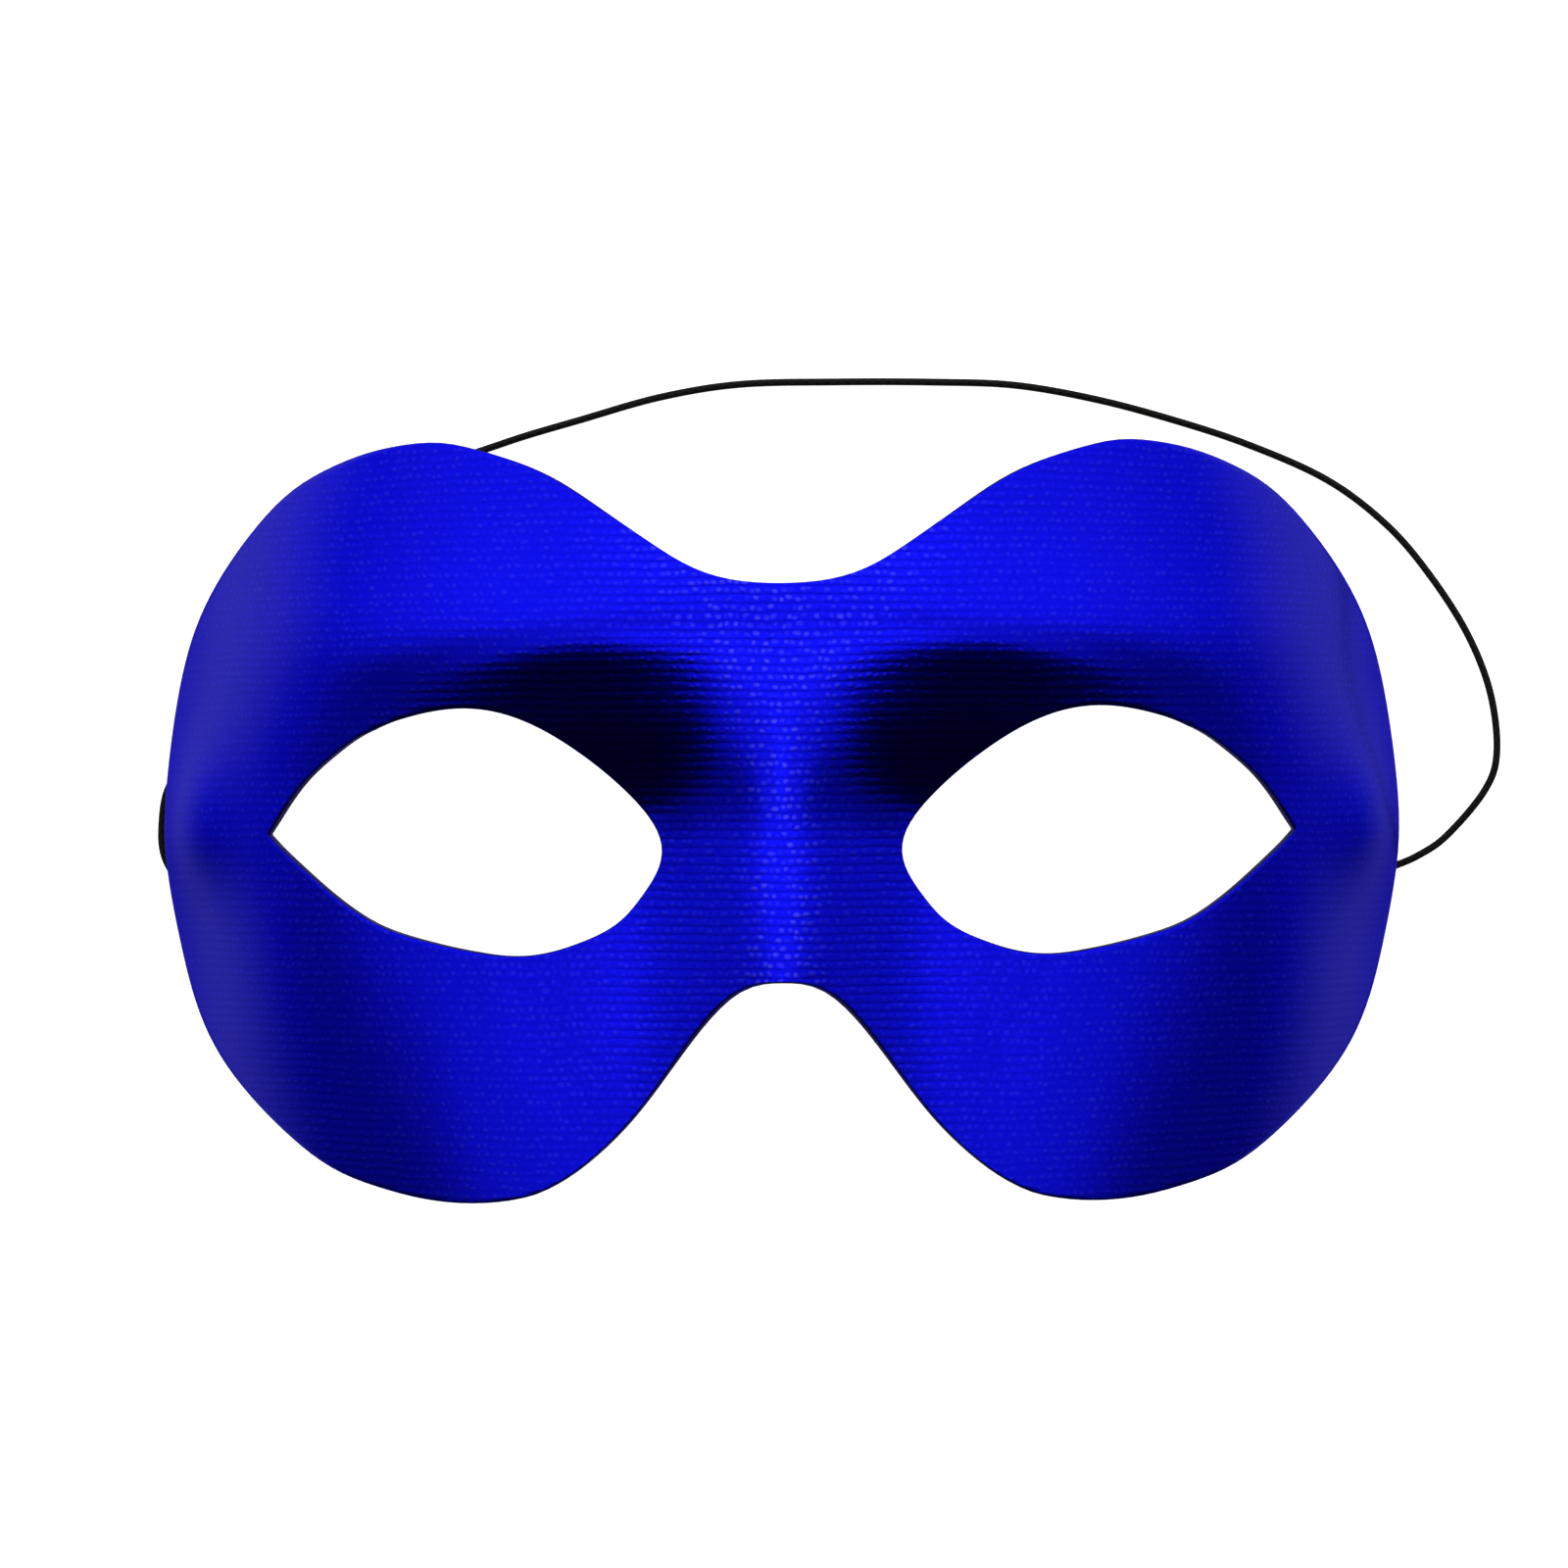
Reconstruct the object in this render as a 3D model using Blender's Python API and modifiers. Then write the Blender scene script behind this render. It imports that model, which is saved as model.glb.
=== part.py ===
"""A Venetian half mask that lies face up on the surface it rests on.

Metres, +Z up. The origin is on that surface, under the middle of the mask. +X runs across the mask,
+Y from the cheeks to the forehead, and +Z out of the mask's front.
"""

import math

import bpy
from mathutils import Matrix, Vector

# Overall form of the moulded face
MASK_WIDTH = 0.170
MASK_HEIGHT = 0.1034
WRAP_DEPTH = 0.047
SIDE_FULLNESS = 2.6
SIDE_SHARE = 0.94
FOREHEAD_FALL = 0.003
TEMPLE_FALL = 0.0140
JAW_FALL = 0.0140
NOSE_RISE = 0.0050
NOSE_HALF_WIDTH = 0.0130
NOSE_LENGTH = 0.046
REST_TRIM = 0.0004

# Eye openings
EYE_WIDTH = 0.0532
EYE_HEIGHT = 0.0333
EYE_SPACING = 0.0854
EYE_DROP = 0.0014

# Walls
COVER_WALL = 0.0010
BACKING_WALL = 0.0010
LAYER_GAP = 0.0003
EDGE_REVEAL = 0.0003

# Glued pads that hold the ends of the cord
PAD_LENGTH = 0.0090
PAD_WIDTH = 0.0060
PAD_THICKNESS = 0.0016
PAD_CORNER = 0.0005
PAD_ACROSS = 0.875
PAD_UP = -0.215
PAD_CLEARANCE = 0.0006

# Elastic cord
CORD_DIAMETER = 0.0010
CORD_END_GAP = 0.0003
CORD_DROP_PULL = 0.0070
CORD_LANDING_PULL = 0.0048
CORD_CROSSING = (0.986, -0.135)
CORD_CROSSING_WAY = (0.87, 0.49)

# Rim of the right half, from the middle of the forehead round the side to the arch over the nose.
# Columns: place, across as a share of half the width, up as a share of half the height.
RIM_ROWS = (
    ("forehead notch", 0.000, 0.620),
    ("notch side", 0.124, 0.650),
    ("lobe rise", 0.248, 0.777),
    ("lobe shoulder", 0.373, 0.912),
    ("lobe inner top", 0.499, 0.985),
    ("lobe top", 0.568, 1.000),
    ("lobe outer top", 0.691, 0.960),
    ("upper temple", 0.821, 0.832),
    ("temple", 0.954, 0.508),
    ("widest side", 1.000, 0.053),
    ("lower side", 0.981, -0.300),
    ("outer cheek", 0.915, -0.612),
    ("outer jaw", 0.760, -0.876),
    ("jaw", 0.630, -0.969),
    ("cheek bottom", 0.500, -1.000),
    ("inner jaw", 0.374, -0.962),
    ("inner cheek", 0.248, -0.800),
    ("nose wing", 0.123, -0.533),
    ("arch shoulder", 0.062, -0.437),
    ("nose arch", 0.000, -0.418),
)

# Eye opening, from its pointed outer corner over the top and back along the lower lid.
# Columns: place, across as a share of half the eye's width, up as a share of half its height.
EYE_ROWS = (
    ("outer corner", 1.00, -0.01),
    ("upper outer lid", 0.84, 0.37),
    ("upper lid slope", 0.68, 0.61),
    ("upper lid rise", 0.45, 0.85),
    ("upper lid top", 0.02, 1.00),
    ("upper lid fall", -0.36, 0.85),
    ("inner upper lid", -0.78, 0.37),
    ("inner corner", -1.00, -0.12),
    ("inner lower lid", -0.86, -0.57),
    ("lower lid turn", -0.69, -0.81),
    ("lower lid bottom", -0.27, -1.00),
    ("lower lid rise", 0.31, -0.82),
    ("lower outer lid", 0.60, -0.58),
    ("outer lid end", 0.94, -0.11),
    ("outer corner again", 1.00, -0.01),
)

# Bulges and dents of the moulding, each with a twin on the other side. Columns: place, across and up
# of its middle, reach across, reach above and reach below, height. Across is a share of half the
# width, up a share of half the height, and the height a share of the wrap depth.
RELIEF_ROWS = (
    ("inner brow", 0.30, 0.50, 0.22, 0.18, 0.12, 0.045),
    ("outer brow", 0.58, 0.45, 0.22, 0.16, 0.12, 0.025),
    ("nose bridge", 0.00, -0.02, 0.09, 0.29, 1.20, 0.020),
    ("inner socket", 0.24, -0.05, 0.21, 0.29, 0.75, -0.230),
    ("outer socket", 0.56, 0.02, 0.23, 0.25, 0.90, -0.110),
    ("nose wing", 0.27, -1.00, 0.22, 0.50, 0.30, -0.045),
    ("cord arch", 1.02, -0.02, 0.10, 0.26, 0.20, 0.180),
)

# Where the cord lies on the surface, from under the left side round to under the right side.
# Columns: across as a share of half the width, up as a share of half the height.
CORD_ROUTE = (
    (-1.002, -0.085),
    (-1.006, -0.020),
    (-0.998, 0.080),
    (-0.970, 0.160),
    (-0.922, 0.270),
    (-0.838, 0.480),
    (-0.720, 0.765),
    (-0.580, 0.925),
    (-0.447, 1.010),
    (-0.320, 1.072),
    (-0.193, 1.130),
    (-0.064, 1.163),
    (0.094, 1.168),
    (0.253, 1.166),
    (0.380, 1.157),
    (0.507, 1.120),
    (0.634, 1.064),
    (0.761, 0.994),
    (0.888, 0.899),
    (0.984, 0.778),
    (1.054, 0.642),
    (1.114, 0.485),
    (1.150, 0.329),
    (1.160, 0.172),
    (1.140, 0.070),
    (1.078, -0.050),
    (1.030, -0.104),
)
CORD_STEPS = 2
CORD_DROP_STEPS = 11

# Fineness of the meshes
CURVE_STEPS = 24
RIM_STEPS = 40
MIDDLE_STEPS = 16
RINGS = 10
CORD_ROUND_STEPS = 2

HALF_WIDTH = MASK_WIDTH / 2
HALF_HEIGHT = MASK_HEIGHT / 2

COVER_BLUE = (0.008, 0.008, 0.80, 1.0)
BACKING_BLACK = (0.012, 0.012, 0.013, 1.0)
PAD_BLACK = (0.020, 0.020, 0.021, 1.0)
CORD_BLACK = (0.010, 0.010, 0.010, 1.0)


def clear_scene():
    for obj in list(bpy.data.objects):
        bpy.data.objects.remove(obj)


def finish_material(name, colour, roughness, metallic):
    material = bpy.data.materials.new(name)
    material.use_nodes = True
    shader = material.node_tree.nodes["Principled BSDF"]
    shader.inputs["Base Color"].default_value = colour
    shader.inputs["Roughness"].default_value = roughness
    shader.inputs["Metallic"].default_value = metallic
    return material


def catmull_rom(before, start, end, after, share):
    """A point on the smooth curve from start to end."""
    squared = share * share
    cubed = squared * share
    return 0.5 * (
        2 * start
        + (end - before) * share
        + (2 * before - 5 * start + 4 * end - after) * squared
        + (3 * start - before - 3 * end + after) * cubed
    )


def smooth_curve(points, first_phantom, last_phantom, steps):
    """Points along a smooth curve through the given ones."""
    chain = [first_phantom, *points, last_phantom]
    found = []
    for index in range(1, len(chain) - 2):
        for step in range(steps):
            found.append(catmull_rom(*chain[index - 1 : index + 3], step / steps))
    found.append(points[-1])
    return found


def mirrored(point):
    return Vector((-point.x, point.y))


def rim_curve():
    """Rim of the right half, from the forehead notch to the nose arch, level where it meets the middle."""
    points = [Vector((across * HALF_WIDTH, up * HALF_HEIGHT)) for _, across, up in RIM_ROWS]
    return smooth_curve(points, mirrored(points[1]), mirrored(points[-2]), CURVE_STEPS)


def eye_centre():
    return Vector((EYE_SPACING / 2, -EYE_DROP))


def eye_curve():
    """Closed edge of the right eye opening, with a sharp outer corner."""
    centre = eye_centre()
    points = [
        centre + Vector((across * EYE_WIDTH / 2, up * EYE_HEIGHT / 2))
        for _, across, up in EYE_ROWS
    ]
    before = 2 * points[0] - points[1]
    after = 2 * points[-1] - points[-2]
    return smooth_curve(points, before, after, CURVE_STEPS)


def evenly_spaced(points, count):
    """The curve through the points again, as count equal steps."""
    lengths = [0.0]
    for first, second in zip(points, points[1:]):
        lengths.append(lengths[-1] + (second - first).length)
    spaced = []
    index = 0
    for step in range(count + 1):
        target = lengths[-1] * step / count
        while index < len(points) - 2 and lengths[index + 1] < target:
            index += 1
        stretch = lengths[index + 1] - lengths[index]
        share = (target - lengths[index]) / stretch
        spaced.append(points[index].lerp(points[index + 1], min(1.0, share)))
    return spaced


def crossing(centre, direction, curve):
    """Where the ray from the centre crosses the curve."""
    best = None
    normal = Vector((-direction.y, direction.x))
    for first, second in zip(curve, curve[1:]):
        side_first = (first - centre).dot(normal)
        side_second = (second - centre).dot(normal)
        if side_first * side_second > 0 or side_first == side_second:
            continue
        point = first.lerp(second, side_first / (side_first - side_second))
        reach = (point - centre).dot(direction)
        if reach > 0 and (best is None or reach < (best - centre).dot(direction)):
            best = point
    return best


def stations():
    """Pairs of points, on the eye's edge and on the half mask's own edge, all the way round."""
    centre = eye_centre()
    eye = eye_curve()
    rim = rim_curve()
    corner = eye[0]
    middle_line = [Vector((0.0, rim[-1].y)), Vector((0.0, rim[0].y))]
    outer = evenly_spaced(rim, RIM_STEPS)
    outer += evenly_spaced(middle_line, MIDDLE_STEPS)[1:-1]
    corner_direction = (corner - centre).normalized()
    corner_index = max(
        range(1, RIM_STEPS),
        key=lambda i: (outer[i] - centre).normalized().dot(corner_direction),
    )
    pairs = []
    for index, point in enumerate(outer):
        if index == corner_index:
            pairs.append((corner, crossing(centre, corner_direction, rim)))
            continue
        direction = (point - centre).normalized()
        pairs.append((crossing(centre, direction, eye), point))
    return pairs


def bell(distance):
    return math.exp(-distance * distance)


def ramp(share):
    """Rises smoothly from 0 to 1."""
    share = min(1.0, max(0.0, share))
    return share * share * (3 - 2 * share)


def side_bow(across):
    """The wrap round the face as a share of an ellipse's height, a little squarer than an ellipse."""
    share = min(1.0, SIDE_SHARE * abs(across))
    return (1 - share**SIDE_FULLNESS) ** (1 / SIDE_FULLNESS)


def face_height(x, y):
    """Height of the moulded face over the plane through its widest sides."""
    across = x / HALF_WIDTH
    up = y / HALF_HEIGHT
    height = WRAP_DEPTH * (side_bow(across) - side_bow(1)) / (1 - side_bow(1))
    side_fall = TEMPLE_FALL if y > 0 else JAW_FALL
    height -= (FOREHEAD_FALL + side_fall * across**2) * up**2
    for _, place_across, place_up, reach_across, reach_above, reach_below, share in RELIEF_ROWS:
        rows = bell((up - place_up) / (reach_above if up > place_up else reach_below))
        right = bell((across - place_across) / reach_across)
        left = bell((across + place_across) / reach_across)
        height += share * WRAP_DEPTH * rows * (right + left)
    nose_top = RIM_ROWS[-1][2] * HALF_HEIGHT + NOSE_LENGTH
    nose = ramp((nose_top - y) / NOSE_LENGTH)
    return height + NOSE_RISE * nose * bell(x / NOSE_HALF_WIDTH)


def face_normal(x, y):
    """Outward normal of the moulded face."""
    step = 0.0002
    slope_x = (face_height(x + step, y) - face_height(x - step, y)) / (2 * step)
    slope_y = (face_height(x, y + step) - face_height(x, y - step)) / (2 * step)
    return Vector((-slope_x, -slope_y, 1.0)).normalized()


def face_point(x, y, depth):
    """A point that lies depth behind the face, measured along its normal."""
    return Vector((x, y, face_height(x, y))) - depth * face_normal(x, y)


def half_face(depth, inset):
    """Rings of points from the right eye's edge out to the rim, and the faces between them."""
    points = []
    pairs = stations()
    for inner, outer in pairs:
        away = (outer - inner).normalized()
        start = inner + away * inset
        end = outer - away * (inset if outer.x > 0 else 0.0)
        for ring in range(RINGS + 1):
            flat = start.lerp(end, ring / RINGS)
            points.append(face_point(flat.x, flat.y, depth))
            if outer.x == 0 and ring == RINGS:
                points[-1].x = 0.0
    faces = []
    row = RINGS + 1
    for index in range(len(pairs)):
        following = (index + 1) % len(pairs)
        for ring in range(RINGS):
            first = index * row + ring
            second = following * row + ring
            faces.append((first, second, second + 1, first + 1))
    return points, faces


def add_mirror(obj):
    mirror = obj.modifiers.new("Mirror", "MIRROR")
    mirror.use_axis = (True, False, False)
    mirror.use_clip = True
    mirror.merge_threshold = 0.00002


def face_layer(name, depth, inset, wall, seat, material, collection):
    """One wall of the mask: an open half surface, mirrored, then given its thickness inwards."""
    points, faces = half_face(depth, inset)
    mesh = bpy.data.meshes.new(name)
    mesh.from_pydata([point - Vector((0, 0, seat)) for point in points], [], faces)
    mesh.shade_smooth()
    obj = bpy.data.objects.new(name, mesh)
    collection.objects.link(obj)
    add_mirror(obj)
    wall_modifier = obj.modifiers.new("Wall", "SOLIDIFY")
    wall_modifier.thickness = wall
    wall_modifier.offset = -1.0
    wall_modifier.use_even_offset = False
    mesh.materials.append(material)
    return obj


def resting_height():
    """Height at which the backing's rim is trimmed flat to rest on, just over its lowest point."""
    depth = COVER_WALL + LAYER_GAP
    lowest = 1.0
    for _, outer in stations():
        edge = face_point(outer.x, outer.y, depth)
        lowest = min(lowest, edge.z - BACKING_WALL * face_normal(outer.x, outer.y).z)
    return lowest + REST_TRIM


def trim_flat(obj, collection):
    """Cuts off what lies below the surface that the mask rests on."""
    depth = 4 * REST_TRIM
    bpy.ops.mesh.primitive_cube_add(size=1.0, location=(0, 0, -depth / 2))
    cutter = bpy.context.object
    cutter.name = "rest_cutter"
    cutter.data.transform(Matrix.Diagonal((2 * MASK_WIDTH, 2 * MASK_HEIGHT, depth, 1.0)))
    cutter.hide_render = True
    cutter.display_type = "WIRE"
    for other in list(cutter.users_collection):
        other.objects.unlink(cutter)
    collection.objects.link(cutter)
    trim = obj.modifiers.new("Rest", "BOOLEAN")
    trim.operation = "DIFFERENCE"
    trim.solver = "EXACT"
    trim.object = cutter


def pad_place(side, seat):
    """Centre of a pad, and its directions out towards the rim, along the side and out of the face."""
    x = side * PAD_ACROSS * HALF_WIDTH
    y = PAD_UP * HALF_HEIGHT
    depth = COVER_WALL + LAYER_GAP + BACKING_WALL + PAD_CLEARANCE + PAD_THICKNESS / 2
    centre = face_point(x, y, depth) - Vector((0, 0, seat))
    normal = face_normal(x, y)
    outward = side * Vector((0, 1, 0)).cross(normal).normalized()
    return centre, outward, normal.cross(outward), normal


def cord_pad(name, side, seat, material, collection):
    """A plain glued pad on the inside of the temple."""
    centre, outward, along, normal = pad_place(side, seat)
    bpy.ops.mesh.primitive_cube_add(size=1.0)
    obj = bpy.context.object
    obj.name = name
    obj.data.name = name
    obj.data.transform(Matrix.Diagonal((PAD_WIDTH, PAD_LENGTH, PAD_THICKNESS, 1.0)))
    turn = Matrix((outward, along, normal)).transposed()
    obj.matrix_world = Matrix.Translation(centre) @ turn.to_4x4()
    bevel = obj.modifiers.new("Corners", "BEVEL")
    bevel.width = PAD_CORNER
    bevel.segments = 2
    obj.data.materials.append(material)
    for other in list(obj.users_collection):
        other.objects.unlink(obj)
    collection.objects.link(obj)
    return obj


def cord_drop(side, seat):
    """Points of the cord from a pad's lower edge down to the surface, where it passes under the rim."""
    centre, outward, _, _ = pad_place(side, seat)
    end = centre + outward * (PAD_WIDTH / 2 + CORD_END_GAP)
    across, up = CORD_CROSSING
    crossing_point = Vector((side * across * HALF_WIDTH, up * HALF_HEIGHT, CORD_DIAMETER / 2))
    way = Vector((side * CORD_CROSSING_WAY[0], CORD_CROSSING_WAY[1], 0.0))
    first_pull = end + outward * CORD_DROP_PULL
    second_pull = crossing_point - way * CORD_LANDING_PULL
    found = []
    for step in range(CORD_DROP_STEPS + 1):
        share = step / CORD_DROP_STEPS
        rest = 1 - share
        found.append(
            rest**3 * end
            + 3 * rest**2 * share * first_pull
            + 3 * rest * share**2 * second_pull
            + share**3 * crossing_point
        )
    return found


def elastic_cord(seat, material, collection):
    """The cord as a tube, from the left pad round over the surface to the right pad."""
    left = cord_drop(-1, seat)
    right = cord_drop(1, seat)
    route = [left[-1]]
    for across, up in CORD_ROUTE:
        route.append(Vector((across * HALF_WIDTH, up * HALF_HEIGHT, CORD_DIAMETER / 2)))
    route.append(right[-1])
    middle = smooth_curve(route, left[-3], right[-3], CORD_STEPS)
    for point in middle:
        point.z = CORD_DIAMETER / 2
    line = left[:-1] + middle + right[-2::-1]
    curve = bpy.data.curves.new("elastic_cord", "CURVE")
    curve.dimensions = "3D"
    curve.bevel_depth = CORD_DIAMETER / 2
    curve.bevel_resolution = CORD_ROUND_STEPS
    curve.use_fill_caps = True
    spline = curve.splines.new("POLY")
    spline.points.add(len(line) - 1)
    for spot, point in zip(spline.points, line):
        spot.co = (*point, 1.0)
    curve.materials.append(material)
    obj = bpy.data.objects.new("elastic_cord", curve)
    collection.objects.link(obj)
    return obj


def main():
    clear_scene()
    collection = bpy.data.collections.new("half_mask")
    bpy.context.scene.collection.children.link(collection)
    cover_finish = finish_material("cover_fabric", COVER_BLUE, 0.45, 0.8)
    backing_finish = finish_material("backing_plastic", BACKING_BLACK, 0.6, 0.0)
    pad_finish = finish_material("pad_felt", PAD_BLACK, 0.9, 0.0)
    cord_finish = finish_material("cord_elastic", CORD_BLACK, 0.7, 0.0)
    cutters = bpy.data.collections.new("cutters")
    bpy.context.scene.collection.children.link(cutters)
    seat = resting_height()
    face_layer("fabric_cover", 0.0, EDGE_REVEAL, COVER_WALL, seat, cover_finish, collection)
    depth = COVER_WALL + LAYER_GAP
    shell = face_layer("backing_shell", depth, 0.0, BACKING_WALL, seat, backing_finish, collection)
    trim_flat(shell, cutters)
    cord_pad("cord_pad_left", -1, seat, pad_finish, collection)
    cord_pad("cord_pad_right", 1, seat, pad_finish, collection)
    elastic_cord(seat, cord_finish, collection)


main()
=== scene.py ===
"""The looks of the Venetian half mask: ribbed shiny cloth on a black moulding, and its thin elastic.

Metres, +Z up. The mask lies face up, +X runs across it and +Y from the cheeks to the forehead.
"""

import math

import bpy
from mathutils import Matrix, Vector
from mathutils.kdtree import KDTree


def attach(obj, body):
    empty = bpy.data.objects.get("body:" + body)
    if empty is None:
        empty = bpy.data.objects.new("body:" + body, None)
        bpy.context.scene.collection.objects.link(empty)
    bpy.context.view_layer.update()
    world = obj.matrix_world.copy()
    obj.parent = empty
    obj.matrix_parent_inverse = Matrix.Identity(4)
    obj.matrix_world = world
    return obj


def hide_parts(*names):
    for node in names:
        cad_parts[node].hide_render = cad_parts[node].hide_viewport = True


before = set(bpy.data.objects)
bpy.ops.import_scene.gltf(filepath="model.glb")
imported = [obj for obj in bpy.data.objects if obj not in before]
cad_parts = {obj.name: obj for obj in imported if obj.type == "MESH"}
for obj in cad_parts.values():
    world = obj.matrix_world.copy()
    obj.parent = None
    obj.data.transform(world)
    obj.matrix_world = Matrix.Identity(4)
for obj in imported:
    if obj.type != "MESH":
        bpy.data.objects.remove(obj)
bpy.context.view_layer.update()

# Overall form of the moulded face, as in the part
MASK_WIDTH = 0.170
MASK_HEIGHT = 0.1034
WRAP_DEPTH = 0.047
SIDE_FULLNESS = 2.6
SIDE_SHARE = 0.94
FOREHEAD_FALL = 0.003
TEMPLE_FALL = 0.0140
JAW_FALL = 0.0140
NOSE_RISE = 0.0050
NOSE_HALF_WIDTH = 0.0130
NOSE_LENGTH = 0.046
EYE_WIDTH = 0.0532
EYE_HEIGHT = 0.0333
EYE_SPACING = 0.0854
EYE_DROP = 0.0014
HALF_WIDTH = MASK_WIDTH / 2
HALF_HEIGHT = MASK_HEIGHT / 2

# Walls
COVER_WALL = 0.0010
BACKING_WALL = 0.0010
LAYER_GAP = 0.0003
EDGE_REVEAL = 0.00012
EDGE_ROUND = 0.00030
EDGE_SEGMENTS = 2
EDGE_ANGLE = 50

# Glued pads and elastic
PAD_LENGTH = 0.0090
PAD_WIDTH = 0.0060
PAD_THICKNESS = 0.0016
PAD_ACROSS = 0.875
PAD_UP = -0.215
PAD_CLEARANCE = 0.0006
PAD_CORNER = 0.0006
PAD_CORNER_SEGMENTS = 4
PAD_SMOOTHING = 2
CORD_DIAMETER = 0.0010
CORD_END_GAP = 0.0003
CORD_DROP_PULL = 0.0070
CORD_LANDING_PULL = 0.0048
CORD_CROSSING = (0.986, -0.135)
CORD_CROSSING_WAY = (0.87, 0.49)
CORD_STEPS = 14
CORD_DROP_STEPS = 40
CORD_SIDES = 16
CORD_LEAD = 0.002

# Fineness of the part's walls, which set the height that the mask rests at
PART_RIM_STEPS = 40
PART_MIDDLE_STEPS = 16
REST_TRIM = 0.0004

# Fineness of the walls here
RIM_STEPS = 150
MIDDLE_STEPS = 34
RINGS = 44
CURVE_STEPS = 24
FAIRING_STEP = 0.001
RIM_FAIRING = 10
EYE_FAIRING = 7
SLOPE_STEP = 0.0002
MIDDLE_TOLERANCE = 1e-6
WELD_DISTANCE = 0.00001

# Fineness of what the cloth keeps: its arc across the wrap, and the points of its cut edge
ARC_STEPS = 40
ARC_TABLE_STEPS = 400
RIM_SAMPLES = 3200
EYE_SAMPLES = 1400

# Cloth
RIB_PITCH = 0.00117
LOOP_PITCH = 0.00112

# Usual lows and highs of a noise
NOISE_SPAN = (0.3, 0.7)

# Unevenness of the knit. SWAY and RIPPLE are lengths, and WANDER and what follows are shares of a
# loop's or a rib's pitch.
SWAY_SCALE = 70.0
SWAY = 0.00040
RIPPLE_SCALE = 700.0
RIPPLE = 0.00014
WANDER_SCALE = 300.0
WANDER = 0.8
LOOP_SHIFT_ASIDE = 0.22
LOOP_SHIFT_ABOVE = 0.16
LOOP_NARROWNESS = 0.62
LOOP_FLATNESS = 1.15
LOOP_REACH = 0.11

# Relief of the knit, as shares of KNIT_HEIGHT. The middle of the mask reaches out to the first of the
# span below from the middle line, and its sides begin at the second.
MIDDLE_REACH = (0.012, 0.036)
RIB_DEPTH_SCALE = 110.0
RIB_DEPTH = (0.20, 0.60)
RIB_DEPTH_BY_MIDDLE = (0.60, 0.90)
LOOP_HEIGHT = (0.05, 0.40)
GRAIN_SCALE = 1900.0
GRAIN_HEIGHT = 0.30
KNIT_HEIGHT = 0.00005

# Tone of the knit, partly painted light. The groove, middle and grain pairs are for the sides and for
# the middle of the mask:
# the groove pair is painted shade between the ribs, and the middle pair a painted brightening. The
# other pairs are for the least and the most of what they name.
GROOVE_PAINTED_SHADE = (0.985, 0.60)
RIB_CREST = 0.7
MIDDLE_PAINTED_LIGHT = (0.70, 0.85)
LOOP_SHADE = (0.97, 1.03)
GRAIN_SHADE = (0.06, 0.15)
PATCH_SCALE = 60.0
PATCH_SHADE = (0.97, 1.03)
EDGE_DARK_WIDTH = 0.00022
EDGE_SHADE = (0.10, 1.0)

# Painted highlight: paler cloth colour down the nose ridge and the brow, where the light catches them,
# which widens towards the forehead
PAINTED_HIGHLIGHT_RISE = (0.008, 0.045)
PAINTED_HIGHLIGHT_SPREAD = (0.007, 0.030)
PAINTED_HIGHLIGHT_CORE = 0.3
PAINTED_HIGHLIGHT_GAIN = (1.0, 1.17)

# Painted glints on some loops, and a painted sheen: the cloth colour paler where it is seen at a slant
PAINTED_GLINT_CHANCE = (0.1, 1.0)
PAINTED_GLINT_RARITY = 1.6
PAINTED_GLINT_SHARE = (0.045, 0.26)
PAINTED_SHEEN_FACING = (0.24, 0.54)
PAINTED_SHEEN_SHARE = 0.11

# Colours of the cloth
CLOTH_DEEP = (0.0005, 0.0005, 0.02, 1.0)
CLOTH_BLUE = (0.0054, 0.0063, 1.0, 1.0)
# Colour of the painted glints
PAINTED_GLINT_COLOUR = (0.20, 0.20, 1.0, 1.0)
# Colour of the painted sheen
PAINTED_SHEEN_COLOUR = (0.52, 0.47, 0.90, 1.0)
CLOTH_GLOSS_TINT = (0.35, 0.35, 1.0, 1.0)

# Black moulding of the backing
MOULDING_BLACK = (0.006, 0.006, 0.007, 1.0)
MOULDING_SCUFF = (0.014, 0.014, 0.015, 1.0)
MOULDING_GRAIN_SCALE = 1500.0
SCUFF_SCALE = 120.0
SCUFF_SPAN = (0.58, 0.75)
MOULDING_GLOSS = 0.25
MOULDING_ROUGHNESS = (0.48, 0.66)

# Felt of the pads
FELT_BLACK = (0.004, 0.004, 0.004, 1.0)
FELT_NAP = (0.014, 0.014, 0.015, 1.0)
NAP_SCALE = 3500.0
FELT_GLOSS = 0.1
FELT_SHEEN = 0.05

# Braid of the elastic
BRAID_GAP = (0.001, 0.001, 0.001, 1.0)
BRAID_THREAD = (0.006, 0.006, 0.005, 1.0)
BRAID_PITCH = 0.0014
BRAID_STRANDS = 4.0
BRAID_CONTRAST = 3.0
BRAID_GLOSS = 0.12

# Paper under the mask
PAPER_WHITE = (0.88, 0.88, 0.88, 1.0)
PAPER_FIBRE = (0.90, 0.90, 0.90, 1.0)
LIGHT_WHITE = (1.0, 1.0, 1.0, 1.0)
FIBRE_SCALE = 40.0
PAPER_GLOW = 0.93
FLOOR_SIZE = 8.0

# Camera, as the photo was framed
PHOTO_PIXELS = 1600
PIXELS_PER_METRE = 7400
VIEW_DISTANCE = 1.5
VIEW_WIDTH = PHOTO_PIXELS / PIXELS_PER_METRE
VIEW_CENTRE = (0.00032, 0.0050)
VIEW_TURN = -0.3
SENSOR_WIDTH = 36
VIEW_END = 20

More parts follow.
